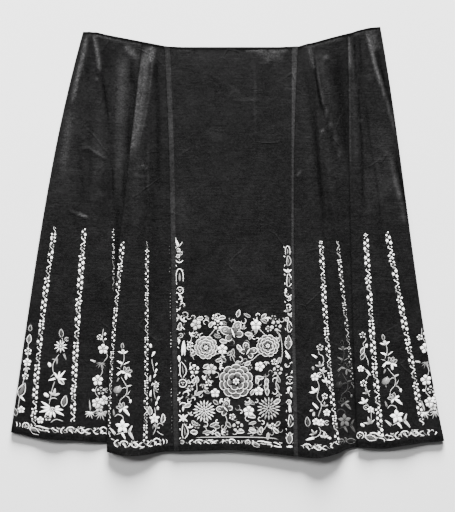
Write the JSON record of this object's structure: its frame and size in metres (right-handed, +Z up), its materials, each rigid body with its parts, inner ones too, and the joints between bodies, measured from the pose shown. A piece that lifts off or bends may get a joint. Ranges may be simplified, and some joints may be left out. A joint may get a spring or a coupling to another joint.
{
  "type": "pleated wrap skirt",
  "caption": "Black satin wrap skirt laid out flat, with a plain front panel between pleated gores, strips along the panel's edges, and a flat back. Open at waist and hem.",
  "frame": {"origin": "middle of the skirt's outline, on the surface that it lies on", "axes": "+X to the right of the front, +Y from the hem to the waist, +Z up from the surface"},
  "size_m": [0.9552, 0.9484, 0.0253],
  "materials": {
    "satin": "black silk satin, soft sheen",
    "strip_satin": "dark grey silk satin strip, soft sheen"
  },
  "bodies": {
    "root": {"front_panel": "satin", "front_left_strip": "strip_satin", "front_right_strip": "strip_satin", "front_left_gore_1": "satin", "front_left_gore_2": "satin", "front_left_gore_3": "satin", "front_left_gore_4": "satin", "front_left_gore_5": "satin", "left_side_gore": "satin", "front_right_gore_1": "satin", "front_right_gore_2": "satin", "front_right_gore_3": "satin", "front_right_gore_4": "satin", "right_side_gore": "satin", "back_panel": "satin", "back_left_gore_1": "satin", "back_left_gore_2": "satin", "back_left_gore_3": "satin", "back_left_gore_4": "satin", "back_left_gore_5": "satin", "back_right_gore_1": "satin", "back_right_gore_2": "satin", "back_right_gore_3": "satin", "back_right_gore_4": "satin", "back_right_gore_5": "satin"}
  },
  "joints": []
}
